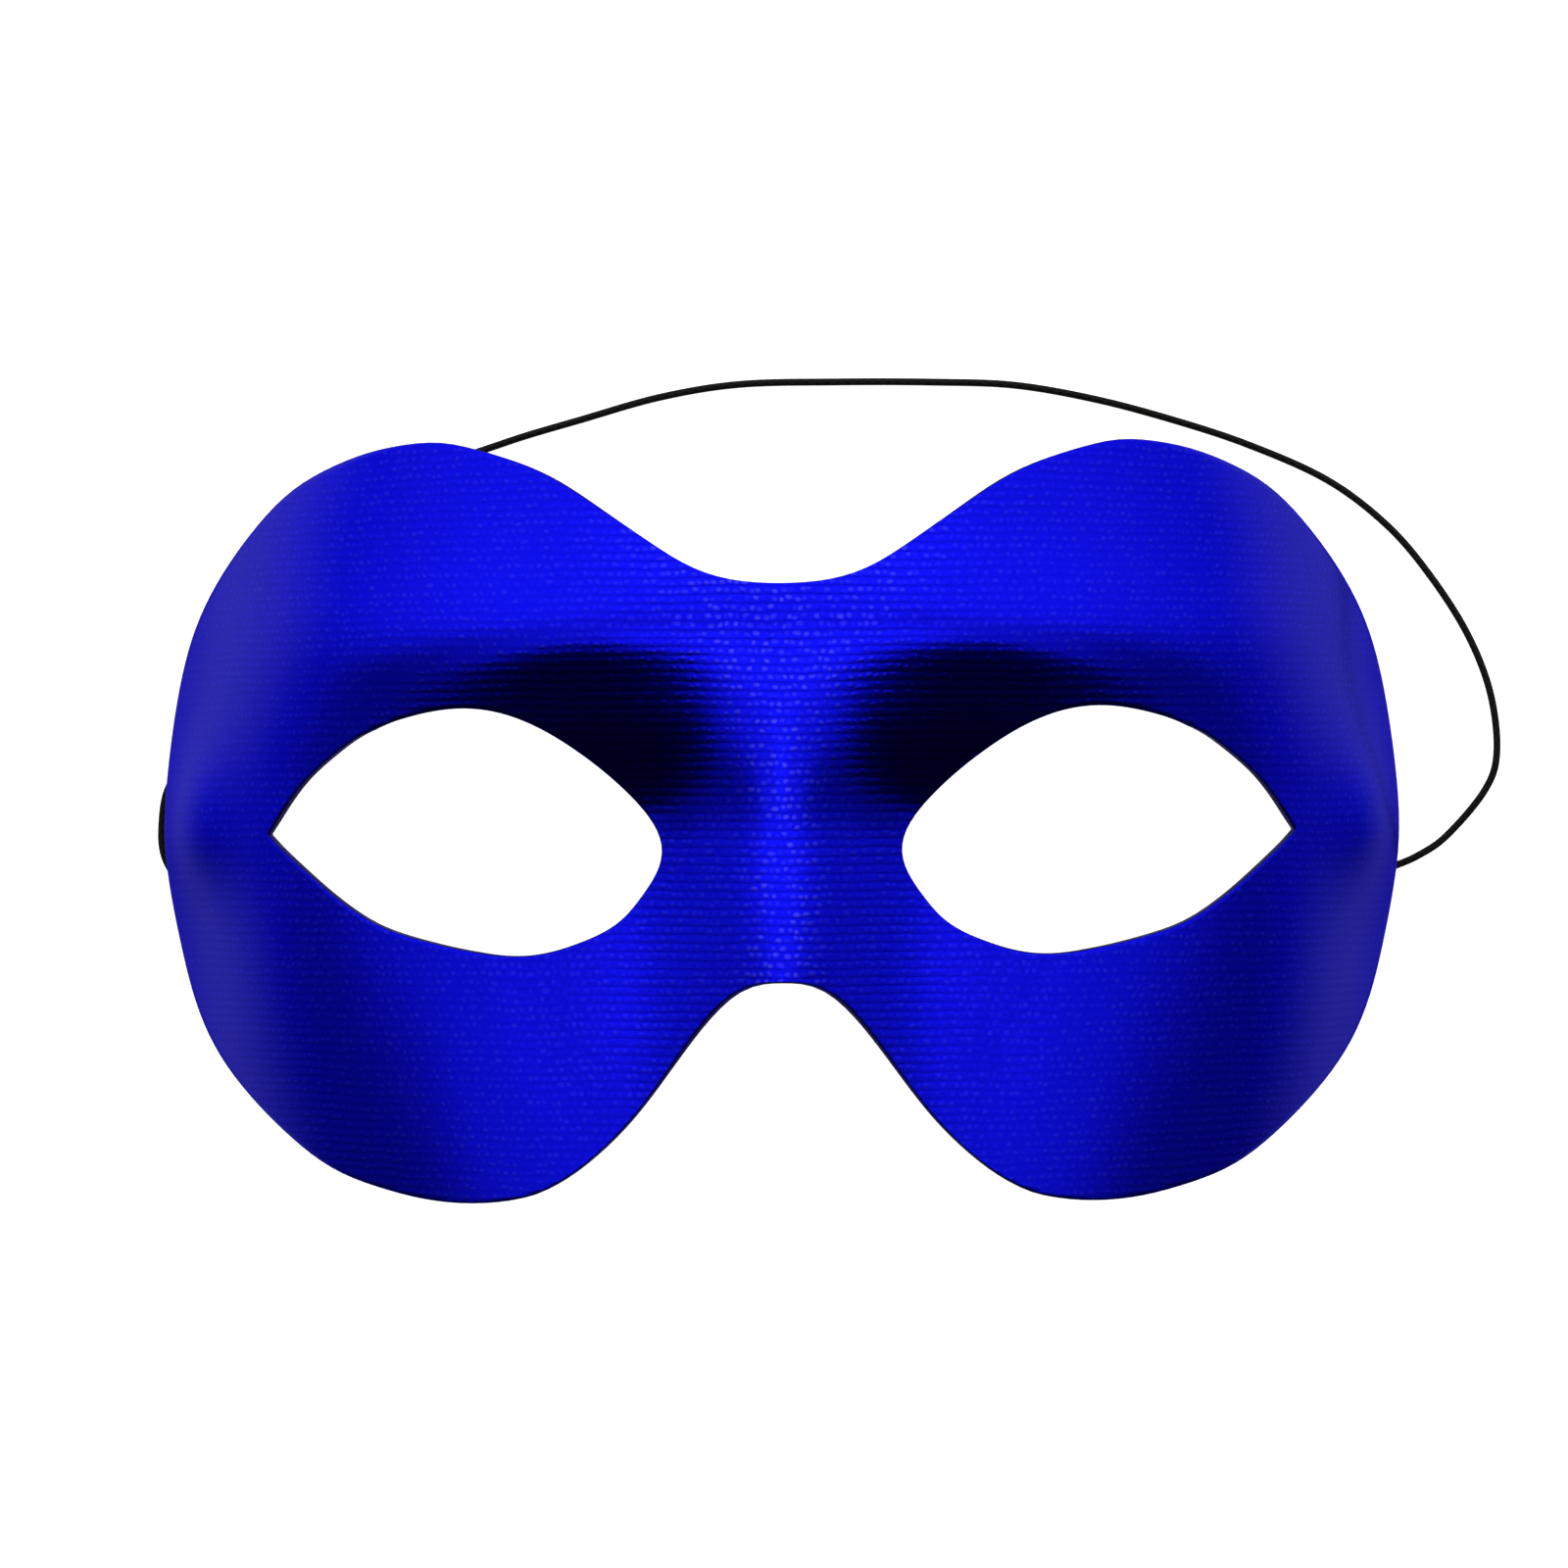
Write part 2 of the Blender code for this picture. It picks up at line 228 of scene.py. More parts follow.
# Brightness of the studio, from each way that the light comes
OVERHEAD_LIGHT = 1.34
CHEEK_OVERHEAD_LIGHT = 0.64
CHEEK_LIGHT = 0.78
HIGH_SIDE_SHARE = 0.70
LOW_SIDE_SHARE = 0.30
FOREHEAD_LIGHT = 1.20
FAR_FOREHEAD_LIGHT = 0.78
DARK_LIGHT = 0.006
LOW_GROUND_LIGHT = 0.34
HIGH_GROUND_LIGHT = 0.61
LEFT_LIGHT_SHARE = 1.06
RIGHT_LIGHT_SHARE = 0.94

# Where the light changes, as parts of the direction that it comes from: across, to either side
MIDDLE_SPAN = (0.04, 0.16)
SIDE_SPAN = (0.42, 0.60)
FAR_SIDE_SPAN = (0.44, 0.84)
FAR_FOREHEAD_SPAN = (0.60, 1.0)
HORIZON_SPAN = (0.92, 1.0)
CHEEK_START = 0.05
CHEEK_REACH = (0.14, 0.28)

# The same, up from the cheeks to the forehead
MIDDLE_DARK_EDGE = -0.52
INNER_DARK_EDGE = -0.42
SIDE_DARK_EDGE = -0.46
DARK_EDGE_WIDTH = 0.13
OVERHEAD_SPAN = (-0.05, 0.10)
REACH_SPAN = (-0.45, -0.15)
SIDE_RISE_SPAN = (-0.15, 0.10)
FOREHEAD_SPAN = (0.12, 0.34)
GROUND_RISE_SPAN = (-0.6, 0.5)

# The same, down from level
GROUND_SPAN = (0.0, -0.3)

# Rim of the right half. Columns: place, across and up as shares of half the width and height.
RIM_ROWS = (
    ("forehead notch", 0.000, 0.620),
    ("notch side", 0.124, 0.650),
    ("lobe rise", 0.248, 0.777),
    ("lobe shoulder", 0.373, 0.912),
    ("lobe inner top", 0.499, 0.985),
    ("lobe top", 0.568, 1.000),
    ("lobe outer top", 0.691, 0.960),
    ("upper temple", 0.821, 0.832),
    ("temple", 0.954, 0.508),
    ("widest side", 1.000, 0.053),
    ("lower side", 0.981, -0.300),
    ("outer cheek", 0.915, -0.612),
    ("outer jaw", 0.760, -0.876),
    ("jaw", 0.630, -0.969),
    ("cheek bottom", 0.500, -1.000),
    ("inner jaw", 0.374, -0.962),
    ("inner cheek", 0.248, -0.800),
    ("nose wing", 0.123, -0.533),
    ("arch shoulder", 0.062, -0.437),
    ("nose arch", 0.000, -0.418),
)

# Eye opening. Columns: place, across and up as shares of half the eye's width and height.
EYE_ROWS = (
    ("outer corner", 1.00, -0.01),
    ("upper outer lid", 0.84, 0.37),
    ("upper lid slope", 0.68, 0.61),
    ("upper lid rise", 0.45, 0.85),
    ("upper lid top", 0.02, 1.00),
    ("upper lid fall", -0.36, 0.85),
    ("inner upper lid", -0.78, 0.37),
    ("inner corner", -1.00, -0.12),
    ("inner lower lid", -0.86, -0.57),
    ("lower lid turn", -0.69, -0.81),
    ("lower lid bottom", -0.27, -1.00),
    ("lower lid rise", 0.31, -0.82),
    ("lower outer lid", 0.60, -0.58),
    ("outer lid end", 0.94, -0.11),
    ("outer corner again", 1.00, -0.01),
)

# Bulges and dents of the moulding, each with a twin on the other side. Columns: place, across and up
# of its middle, reach across, reach above and reach below, height. Across is a share of half the
# width, up a share of half the height, and the height a share of the wrap depth.
RELIEF_ROWS = (
    ("inner brow", 0.30, 0.50, 0.22, 0.18, 0.12, 0.045),
    ("outer brow", 0.58, 0.45, 0.22, 0.16, 0.12, 0.025),
    ("nose bridge", 0.00, -0.02, 0.09, 0.29, 1.20, 0.020),
    ("inner socket", 0.24, -0.05, 0.21, 0.29, 0.75, -0.230),
    ("outer socket", 0.56, 0.02, 0.23, 0.25, 0.90, -0.110),
    ("nose wing", 0.27, -1.00, 0.22, 0.50, 0.30, -0.045),
    ("cord arch", 1.02, -0.02, 0.10, 0.26, 0.20, 0.180),
)

# Where the cord lies on the surface. Columns: across and up as shares of half the width and height.
CORD_ROUTE = (
    (-1.002, -0.085),
    (-1.006, -0.020),
    (-0.998, 0.080),
    (-0.970, 0.160),
    (-0.922, 0.270),
    (-0.838, 0.480),
    (-0.720, 0.765),
    (-0.580, 0.925),
    (-0.447, 1.010),
    (-0.320, 1.072),
    (-0.193, 1.130),
    (-0.064, 1.163),
    (0.094, 1.168),
    (0.253, 1.166),
    (0.380, 1.157),
    (0.507, 1.120),
    (0.634, 1.064),
    (0.761, 0.994),
    (0.888, 0.899),
    (0.984, 0.778),
    (1.054, 0.642),
    (1.114, 0.485),
    (1.150, 0.329),
    (1.160, 0.172),
    (1.140, 0.070),
    (1.078, -0.050),
    (1.030, -0.104),
)


def set_camera():
    """Looks straight down on the mask through a long lens."""
    camera = bpy.data.cameras.new("photo_camera")
    holder = bpy.data.objects.new("photo_camera", camera)
    bpy.context.scene.collection.objects.link(holder)
    holder.location = (VIEW_CENTRE[0], VIEW_CENTRE[1], VIEW_DISTANCE)
    holder.rotation_euler.z = math.radians(VIEW_TURN)
    camera.sensor_width = SENSOR_WIDTH
    camera.lens = camera.sensor_width * VIEW_DISTANCE / VIEW_WIDTH
    camera.clip_end = VIEW_END
    bpy.context.scene.camera = holder


def catmull_rom(before, start, end, after, share):
    """A point on the smooth curve from start to end."""
    squared = share * share
    cubed = squared * share
    return 0.5 * (
        2 * start
        + (end - before) * share
        + (2 * before - 5 * start + 4 * end - after) * squared
        + (3 * start - before - 3 * end + after) * cubed
    )


def smooth_curve(points, first_phantom, last_phantom, steps):
    """Points along a smooth curve through the given ones."""
    chain = [first_phantom, *points, last_phantom]
    found = []
    for index in range(1, len(chain) - 2):
        for step in range(steps):
            found.append(catmull_rom(*chain[index - 1 : index + 3], step / steps))
    found.append(points[-1])
    return found


def mirrored(point):
    return Vector((-point.x, point.y))


def faired(points, passes, mirrored_ends):
    """The curve again, evenly spaced and with its small kinks smoothed out."""
    length = sum((second - first).length for first, second in zip(points, points[1:]))
    points = evenly_spaced(points, round(length / FAIRING_STEP))
    for _ in range(passes):
        before = mirrored(points[1]) if mirrored_ends else points[0]
        after = mirrored(points[-2]) if mirrored_ends else points[-1]
        chain = [before, *points, after]
        moved = [
            (first + 2 * point + second) / 4
            for first, point, second in zip(chain, points, chain[2:])
        ]
        if not mirrored_ends:
            moved[0] = points[0]
            moved[-1] = points[-1]
        points = moved
    return points


def rim_curve(passes=RIM_FAIRING):
    """Rim of the right half, from the forehead notch to the nose arch."""
    points = [Vector((across * HALF_WIDTH, up * HALF_HEIGHT)) for _, across, up in RIM_ROWS]
    curve = smooth_curve(points, mirrored(points[1]), mirrored(points[-2]), CURVE_STEPS)
    return faired(curve, passes, True) if passes else curve


def eye_centre():
    return Vector((EYE_SPACING / 2, -EYE_DROP))


def eye_curve(passes=EYE_FAIRING):
    """Closed edge of the right eye opening, with a sharp outer corner."""
    points = [
        eye_centre() + Vector((across * EYE_WIDTH / 2, up * EYE_HEIGHT / 2))
        for _, across, up in EYE_ROWS
    ]
    before = 2 * points[0] - points[1]
    after = 2 * points[-1] - points[-2]
    curve = smooth_curve(points, before, after, CURVE_STEPS)
    return faired(curve, passes, False) if passes else curve


def evenly_spaced(points, count):
    """The curve through the points again, as count equal steps."""
    lengths = [0.0]
    for first, second in zip(points, points[1:]):
        lengths.append(lengths[-1] + (second - first).length)
    spaced = []
    index = 0
    for step in range(count + 1):
        target = lengths[-1] * step / count
        while index < len(points) - 2 and lengths[index + 1] < target:
            index += 1
        stretch = lengths[index + 1] - lengths[index]
        share = (target - lengths[index]) / stretch
        spaced.append(points[index].lerp(points[index + 1], min(1.0, share)))
    return spaced


def crossing(centre, direction, curve):
    """Where the ray from the centre crosses the curve."""
    best = None
    normal = Vector((-direction.y, direction.x))
    for first, second in zip(curve, curve[1:]):
        side_first = (first - centre).dot(normal)
        side_second = (second - centre).dot(normal)
        if side_first * side_second > 0 or side_first == side_second:
            continue
        point = first.lerp(second, side_first / (side_first - side_second))
        reach = (point - centre).dot(direction)
        if reach > 0 and (best is None or reach < (best - centre).dot(direction)):
            best = point
    return best


def stations(rim_steps, middle_steps, eye, rim):
    """Pairs of points, on the eye's edge and on the half mask's own edge, all the way round."""
    centre = eye_centre()
    corner = eye[0]
    middle_line = [Vector((0.0, rim[-1].y)), Vector((0.0, rim[0].y))]
    outer = evenly_spaced(rim, rim_steps)
    outer += evenly_spaced(middle_line, middle_steps)[1:-1]
    corner_direction = (corner - centre).normalized()
    corner_index = max(
        range(1, rim_steps),
        key=lambda i: (outer[i] - centre).normalized().dot(corner_direction),
    )
    pairs = []
    for index, point in enumerate(outer):
        if index == corner_index:
            pairs.append((corner, crossing(centre, corner_direction, rim)))
            continue
        direction = (point - centre).normalized()
        pairs.append((crossing(centre, direction, eye), point))
    return pairs


def bell(distance):
    return math.exp(-distance * distance)


def ramp(share):
    """Rises smoothly from 0 to 1."""
    share = min(1.0, max(0.0, share))
    return share * share * (3 - 2 * share)


def side_bow(across):
    """The wrap round the face as a share of an ellipse's height, a little squarer than an ellipse."""
    share = min(1.0, SIDE_SHARE * abs(across))
    return (1 - share**SIDE_FULLNESS) ** (1 / SIDE_FULLNESS)


def face_height(x, y):
    """Height of the moulded face over the plane through its widest sides."""
    across = x / HALF_WIDTH
    up = y / HALF_HEIGHT
    height = WRAP_DEPTH * (side_bow(across) - side_bow(1)) / (1 - side_bow(1))
    side_fall = TEMPLE_FALL if y > 0 else JAW_FALL
    height -= (FOREHEAD_FALL + side_fall * across**2) * up**2
    for _, place_across, place_up, reach_across, reach_above, reach_below, share in RELIEF_ROWS:
        rows = bell((up - place_up) / (reach_above if up > place_up else reach_below))
        right = bell((across - place_across) / reach_across)
        left = bell((across + place_across) / reach_across)
        height += share * WRAP_DEPTH * rows * (right + left)
    nose_top = RIM_ROWS[-1][2] * HALF_HEIGHT + NOSE_LENGTH
    nose = ramp((nose_top - y) / NOSE_LENGTH)
    return height + NOSE_RISE * nose * bell(x / NOSE_HALF_WIDTH)


def face_normal(x, y):
    """Outward normal of the moulded face."""
    rise_x = face_height(x + SLOPE_STEP, y) - face_height(x - SLOPE_STEP, y)
    rise_y = face_height(x, y + SLOPE_STEP) - face_height(x, y - SLOPE_STEP)
    slope_x = rise_x / (2 * SLOPE_STEP)
    slope_y = rise_y / (2 * SLOPE_STEP)
    return Vector((-slope_x, -slope_y, 1.0)).normalized()


def resting_height():
    """Height at which the part's rim is trimmed flat to rest on."""
    depth = COVER_WALL + LAYER_GAP + BACKING_WALL
    lowest = 1.0
    for _, outer in stations(PART_RIM_STEPS, PART_MIDDLE_STEPS, eye_curve(0), rim_curve(0)):
        normal = face_normal(outer.x, outer.y)
        lowest = min(lowest, face_height(outer.x, outer.y) - depth * normal.z)
    return lowest + REST_TRIM


SEAT = resting_height()


def face_point(x, y, depth):
    """A point that lies depth behind the face, measured along its normal, where the mask rests."""
    return Vector((x, y, face_height(x, y) - SEAT)) - depth * face_normal(x, y)


def pad_place(side):
    """Centre of a pad, and its directions out towards the rim, along the side and out of the face."""
    x = side * PAD_ACROSS * HALF_WIDTH
    y = PAD_UP * HALF_HEIGHT
    depth = COVER_WALL + LAYER_GAP + BACKING_WALL + PAD_CLEARANCE + PAD_THICKNESS / 2
    normal = face_normal(x, y)
    outward = side * Vector((0, 1, 0)).cross(normal).normalized()
    return face_point(x, y, depth), outward, normal.cross(outward), normal


def cord_drop(side):
    """Points of the cord from a pad's lower edge down to the surface, where it passes under the rim."""
    centre, outward, _, _ = pad_place(side)
    end = centre + outward * (PAD_WIDTH / 2 + CORD_END_GAP)
    across, up = CORD_CROSSING
    crossing_point = Vector((side * across * HALF_WIDTH, up * HALF_HEIGHT, CORD_DIAMETER / 2))
    way = Vector((side * CORD_CROSSING_WAY[0], CORD_CROSSING_WAY[1], 0.0))
    first_pull = end + outward * CORD_DROP_PULL
    second_pull = crossing_point - way * CORD_LANDING_PULL
    found = []
    for step in range(CORD_DROP_STEPS + 1):
        share = step / CORD_DROP_STEPS
        rest = 1 - share
        found.append(
            rest**3 * end
            + 3 * rest**2 * share * first_pull
            + 3 * rest * share**2 * second_pull
            + share**3 * crossing_point
        )
    return found


def cord_line():
    """The middle of the cord, from the left pad round over the surface to the right pad."""
    left = cord_drop(-1)
    right = cord_drop(1)
    route = [left[-1]]
    for across, up in CORD_ROUTE:
        route.append(Vector((across * HALF_WIDTH, up * HALF_HEIGHT, CORD_DIAMETER / 2)))
    route.append(right[-1])
    before = left[-1] + (left[-2] - left[-1]).normalized() * CORD_LEAD
    after = right[-1] + (right[-2] - right[-1]).normalized() * CORD_LEAD
    middle = smooth_curve(route, before, after, CORD_STEPS)
    for point in middle:
        point.z = CORD_DIAMETER / 2
    return left[:-1] + middle + right[-2::-1]


def lay_cord(finish):
    """The elastic as a tube along its line, with the place along and round it kept for the braid."""
    line = cord_line()
    mesh = bpy.data.meshes.new("elastic")
    points = []
    places = []
    faces = []
    side_way = Vector((0, 1, 0))
    along = 0.0
    for index, point in enumerate(line):
        before = line[max(index - 1, 0)]
        after = line[min(index + 1, len(line) - 1)]
        forward = (after - before).normalized()
        side_way = (side_way - forward * side_way.dot(forward)).normalized()
        up_way = forward.cross(side_way)
        along += (point - before).length
        for corner in range(CORD_SIDES):
            angle = 2 * math.pi * corner / CORD_SIDES
            outward = side_way * math.cos(angle) + up_way * math.sin(angle)
            points.append(point + outward * CORD_DIAMETER / 2)
            places.append((along, angle / (2 * math.pi), 0.0))
    for ring in range(len(line) - 1):
        for corner in range(CORD_SIDES):
            following = (corner + 1) % CORD_SIDES
            first = ring * CORD_SIDES
            second = first + CORD_SIDES
            faces.append((first + corner, first + following, second + following, second + corner))
    faces.append(tuple(range(CORD_SIDES))[::-1])
    faces.append(tuple((len(line) - 1) * CORD_SIDES + corner for corner in range(CORD_SIDES)))
    mesh.from_pydata(points, [], faces)
    mesh.shade_smooth()
    kept = mesh.attributes.new("cord_place", "FLOAT_VECTOR", "POINT")
    kept.data.foreach_set("vector", [value for place in places for value in place])
    mesh.materials.append(finish)
    elastic = bpy.data.objects.new("elastic", mesh)
    bpy.context.scene.collection.objects.link(elastic)
    return elastic, line


def add_loop(name, points):
    """A circle drawn out to the shape of an edge."""
    bpy.ops.object.select_all(action="DESELECT")
    bpy.ops.mesh.primitive_circle_add(vertices=len(points), radius=HALF_HEIGHT)
    loop = bpy.context.object
    loop.name = name
    for vertex, point in zip(loop.data.vertices, points):
        vertex.co = (point.x, point.y, 0.0)
    return loop


def apply_modifiers(piece):
    bpy.ops.object.select_all(action="DESELECT")
    piece.select_set(True)
    bpy.context.view_layer.objects.active = piece
    for modifier in list(piece.modifiers):
        bpy.ops.object.modifier_apply(modifier=modifier.name)


def drawn_in(point, outward, inset, back_depth):
    """A point on an edge, drawn in so that the wall's back doesn't show past it from the front."""
    normal = face_normal(point.x, point.y)
    overhang = -back_depth * (normal.x * outward.x + normal.y * outward.y)
    return point - outward * (inset + max(0.0, overhang))


def sheet_edges(inset, back_depth):
    """The right eye's edge and the half mask's own edge, point by point the same way round."""
    pairs = stations(RIM_STEPS, MIDDLE_STEPS, eye_curve(), rim_curve())
    inner_points = []
    outer_points = []
    for index, (inner, outer) in enumerate(pairs):
        before = pairs[index - 1]
        after = pairs[(index + 1) % len(pairs)]
        lid = (after[0] - before[0]).normalized()
        inner_points.append(drawn_in(inner, Vector((lid.y, -lid.x)), inset, back_depth))
        if outer.x > 0:
            rim = (after[1] - before[1]).normalized()
            outer_points.append(drawn_in(outer, Vector((-rim.y, rim.x)), inset, back_depth))
        elif index in (0, RIM_STEPS):
            outward = Vector((0.0, 1.0 if index == 0 else -1.0))
            outer_points.append(drawn_in(outer, outward, inset, back_depth))
        else:
            outer_points.append(outer)
    return inner_points, outer_points


def half_sheet(name, inset, back_depth):
    """A flat sheet from the right eye's edge out to the half mask's own edge."""
    inner_points, outer_points = sheet_edges(inset, back_depth)
    eye_loop = add_loop(name + "_eye", inner_points)
    sheet = add_loop(name, outer_points)
    eye_loop.select_set(True)
    bpy.ops.object.join()
    bpy.ops.object.mode_set(mode="EDIT")
    bpy.ops.mesh.select_all(action="SELECT")
    bpy.ops.mesh.bridge_edge_loops(number_cuts=RINGS - 1, interpolation="LINEAR")
    bpy.ops.object.mode_set(mode="OBJECT")
    return sheet


def moulded_wall(name, depth, inset, wall, finish):
    """A sheet pressed onto the face at a depth, mirrored, and given its thickness inwards."""
    piece = half_sheet(name, inset, depth + wall)
    for vertex in piece.data.vertices:
        vertex.co = face_point(vertex.co.x, vertex.co.y, depth)
        if abs(vertex.co.x) < MIDDLE_TOLERANCE:
            vertex.co.x = 0.0
    mirror = piece.modifiers.new("Other half", "MIRROR")
    mirror.use_clip = True
    mirror.merge_threshold = WELD_DISTANCE
    apply_modifiers(piece)
    bpy.ops.object.mode_set(mode="EDIT")
    bpy.ops.mesh.select_all(action="SELECT")
    bpy.ops.mesh.normals_make_consistent(inside=False)
    bpy.ops.object.mode_set(mode="OBJECT")
    if sum(face.normal.z for face in piece.data.polygons) < 0:
        bpy.ops.object.mode_set(mode="EDIT")
        bpy.ops.mesh.flip_normals()
        bpy.ops.object.mode_set(mode="OBJECT")
    piece.data.materials.append(finish)
    thickness = piece.modifiers.new("Wall", "SOLIDIFY")
    thickness.thickness = wall
    thickness.offset = -1.0
    rounding = piece.modifiers.new("Rounded edges", "BEVEL")
    rounding.width = EDGE_ROUND
    rounding.segments = EDGE_SEGMENTS
    rounding.limit_method = "ANGLE"
    rounding.angle_limit = math.radians(EDGE_ANGLE)
    apply_modifiers(piece)
    for vertex in piece.data.vertices:
        vertex.co.z = max(vertex.co.z, 0.0)
    bpy.ops.object.shade_smooth()
    return piece


def arc_across(x):
    """Length along the wrap of the face from the middle to x."""
    total = 0.0
    drop = WRAP_DEPTH / (1 - side_bow(1))
    for step in range(ARC_STEPS):
        first = x * step / ARC_STEPS
        second = x * (step + 1) / ARC_STEPS
        rise = drop * (side_bow(second / HALF_WIDTH) - side_bow(first / HALF_WIDTH))
        total += math.hypot(second - first, rise)
    return total


def arc_up(x, y):
    """Length along the fall of the face from its middle height to y."""
    side_fall = TEMPLE_FALL if y > 0 else JAW_FALL
    bend = 2 * (FOREHEAD_FALL + side_fall * (x / HALF_WIDTH) ** 2) / HALF_HEIGHT**2
    slope = bend * y
    return 0.5 * (y * math.hypot(1, slope) + math.asinh(slope) / bend)


def keep_cloth_places(piece):
    """Keeps each point's place in the cloth's own weave, and its distance from the cut edge."""
    lid, rim = sheet_edges(EDGE_REVEAL, COVER_WALL)
    edges = evenly_spaced(rim[: RIM_STEPS + 1], RIM_SAMPLES)
    edges += evenly_spaced(lid + lid[:1], EYE_SAMPLES)
    tree = KDTree(len(edges))
    for index, point in enumerate(edges):
        tree.insert((point.x, point.y, face_height(point.x, point.y) - SEAT), index)
    tree.balance()
    arcs = [arc_across(HALF_WIDTH * step / ARC_TABLE_STEPS) for step in range(ARC_TABLE_STEPS + 1)]
    places = []
    distances = []
    for vertex in piece.data.vertices:
        x, y, z = vertex.co
        at = min(ARC_TABLE_STEPS - 0.001, abs(x) / HALF_WIDTH * ARC_TABLE_STEPS)
        index = int(at)
        across = arcs[index] + (arcs[index + 1] - arcs[index]) * (at - index)
        places.extend((math.copysign(across, x), arc_up(x, y), 0.0))
        depth = (face_height(x, y) - SEAT - z) * face_normal(x, y).z
        distances.append(0.0 if depth > EDGE_ROUND / 2 else tree.find((abs(x), y, z))[2])
    kept = piece.data.attributes.new("cloth_place", "FLOAT_VECTOR", "POINT")
    kept.data.foreach_set("vector", places)
    kept = piece.data.attributes.new("edge_distance", "FLOAT", "POINT")
    kept.data.foreach_set("value", distances)


def glued_pad(name, side, finish):
    """A small felt pad with rounded corners, on the inside of the temple."""
    centre, outward, along, normal = pad_place(side)
    bpy.ops.object.select_all(action="DESELECT")
    bpy.ops.mesh.primitive_cube_add(size=1.0)
    pad = bpy.context.object
    pad.name = name
    pad.data.transform(Matrix.Diagonal((PAD_WIDTH, PAD_LENGTH, PAD_THICKNESS, 1.0)))
    rounding = pad.modifiers.new("Soft corners", "BEVEL")
    rounding.width = PAD_CORNER
    rounding.segments = PAD_CORNER_SEGMENTS
    smoothing = pad.modifiers.new("Soft faces", "SUBSURF")
    smoothing.levels = PAD_SMOOTHING
    smoothing.render_levels = PAD_SMOOTHING
    apply_modifiers(pad)
    turn = Matrix((outward, along, normal)).transposed().to_4x4()
    pad.data.transform(Matrix.Translation(centre) @ turn)
    pad.data.materials.append(finish)
    bpy.ops.object.shade_smooth()
    return pad


class Nodes:
    """Short calls to add and join nodes in one tree."""

    def __init__(self, tree):
        self.tree = tree

    def node(self, kind, **settings):
        made = self.tree.nodes.new(kind)
        for name, value in settings.items():
            setattr(made, name, value)
        return made

    def join(self, source, target):
        self.tree.links.new(source, target)

    def feed(self, socket, value):
        """Gives a socket a number or a colour, or joins another socket to it."""
        if isinstance(value, (int, float, tuple)):
            socket.default_value = value
        else:
            self.join(value, socket)

    def math(self, operation, first, second=None):
        made = self.node("ShaderNodeMath", operation=operation)
        self.feed(made.inputs[0], first)
        if second is not None:
            self.feed(made.inputs[1], second)
        return made.outputs[0]

    def total(self, first, *others):
        for other in others:
            first = self.math("ADD", first, other)
        return first

    def product(self, first, *others):
        for other in others:
            first = self.math("MULTIPLY", first, other)
        return first

    def range(self, value, low, high, new_low, new_high, way="LINEAR"):
        """The value moved from one range to another, of numbers or of joined sockets."""
        made = self.node("ShaderNodeMapRange", interpolation_type=way)
        self.join(value, made.inputs["Value"])
        self.feed(made.inputs["From Min"], low)
        self.feed(made.inputs["From Max"], high)
        self.feed(made.inputs["To Min"], new_low)
        self.feed(made.inputs["To Max"], new_high)
        return made.outputs["Result"]

    def soft(self, value, low, high, new_low, new_high):
        return self.range(value, low, high, new_low, new_high, "SMOOTHSTEP")

    def between(self, share, start, end):
        """The value that lies a share of the way from start to end."""
        return self.range(share, 0.0, 1.0, start, end)

    def by_noise(self, noise, start, end):
        """The value from start, at a noise's usual lows, to end, at its usual highs."""
        return self.range(noise, *NOISE_SPAN, start, end)

    def noise(self, vector, scale, detail):
        made = self.node("ShaderNodeTexNoise")
        made.inputs["Scale"].default_value = scale
        made.inputs["Detail"].default_value = detail
        self.join(vector, made.inputs["Vector"])
        return made.outputs["Fac"]

    def split(self, vector):
        made = self.node("ShaderNodeSeparateXYZ")
        self.join(vector, made.inputs[0])
        return made.outputs

    def chances(self, column, row):
        """Three random shares for each cell of a grid."""
        cell = self.node("ShaderNodeCombineXYZ")
        self.join(column, cell.inputs[0])
        self.join(row, cell.inputs[1])
        made = self.node("ShaderNodeTexWhiteNoise", noise_dimensions="2D")
        self.join(cell.outputs[0], made.inputs["Vector"])
        return self.split(made.outputs["Color"])

    def attribute(self, name):
        return self.node("ShaderNodeAttribute", attribute_name=name).outputs

    def own_place(self):
        return self.node("ShaderNodeTexCoord").outputs["Object"]

    def mix(self, share, first, second):
        """A colour that lies a share of the way from the first to the second."""
        made = self.node("ShaderNodeMix", data_type="RGBA")
        self.feed(made.inputs[0], share)
        self.feed(made.inputs[6], first)
        self.feed(made.inputs[7], second)
        return made.outputs[2]


class Finish(Nodes):
    """A material and its Principled shader."""

    def __init__(self, name, roughness, metallic):
        self.material = bpy.data.materials.new(name)
        self.material.use_nodes = True
        super().__init__(self.material.node_tree)
        self.shader = self.tree.nodes["Principled BSDF"]
        self.give("Roughness", roughness)
        self.give("Metallic", metallic)

    def give(self, name, value):
        self.feed(self.shader.inputs[name], value)

    def bump(self, height, strength, distance):
        made = self.node("ShaderNodeBump")
        made.inputs["Strength"].default_value = strength
        made.inputs["Distance"].default_value = distance
        self.join(height, made.inputs["Height"])
        self.give("Normal", made.outputs["Normal"])


